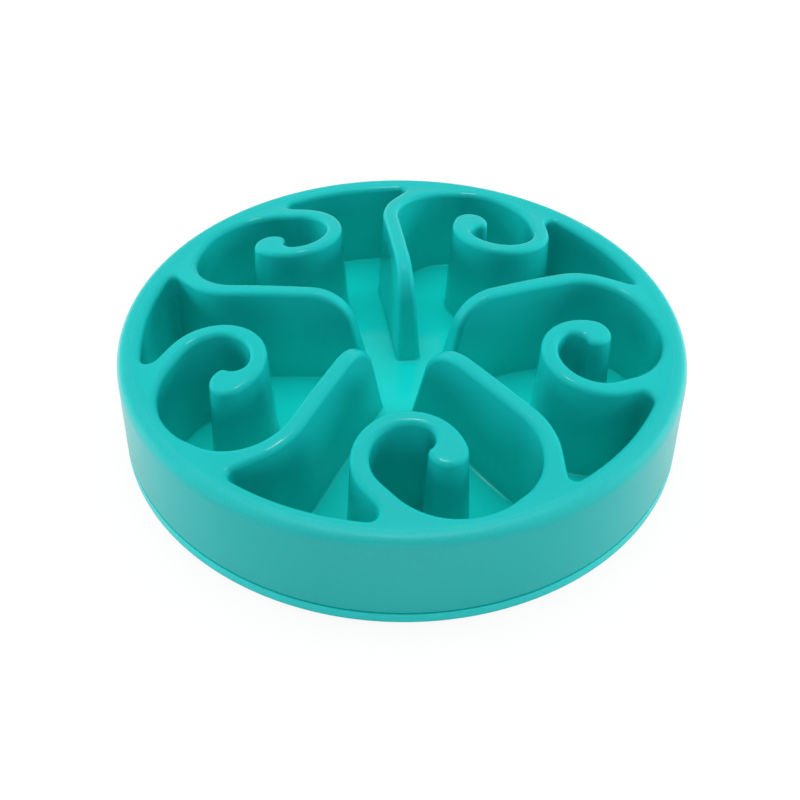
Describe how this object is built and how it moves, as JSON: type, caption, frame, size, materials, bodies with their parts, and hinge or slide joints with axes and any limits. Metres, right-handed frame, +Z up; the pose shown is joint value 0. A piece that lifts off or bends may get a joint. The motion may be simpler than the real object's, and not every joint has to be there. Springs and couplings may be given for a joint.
{
  "type": "slow feeder bowl",
  "caption": "Round low pet bowl whose rim grows curling hooks and straight dividers, a maze that slows eating, on a snap-in base ring with rubber feet.",
  "frame": {"origin": "on the table under the bowl's axis, at the bottom of the feet", "axes": "+Z up along the bowl's axis, -Y towards the viewer of the picture, +X to their right"},
  "size_m": [0.2025, 0.2026, 0.0465],
  "materials": {
    "bowl_plastic": "moulded, satin skirt and glossier ridges",
    "ring_plastic": "moulded satin",
    "foot_rubber": "matt rubber"
  },
  "bodies": {
    "root": {"bowl_shell": "bowl_plastic", "base_ring": "ring_plastic", "foot_1": "foot_rubber", "foot_2": "foot_rubber", "foot_3": "foot_rubber", "foot_4": "foot_rubber", "foot_5": "foot_rubber"}
  },
  "joints": []
}
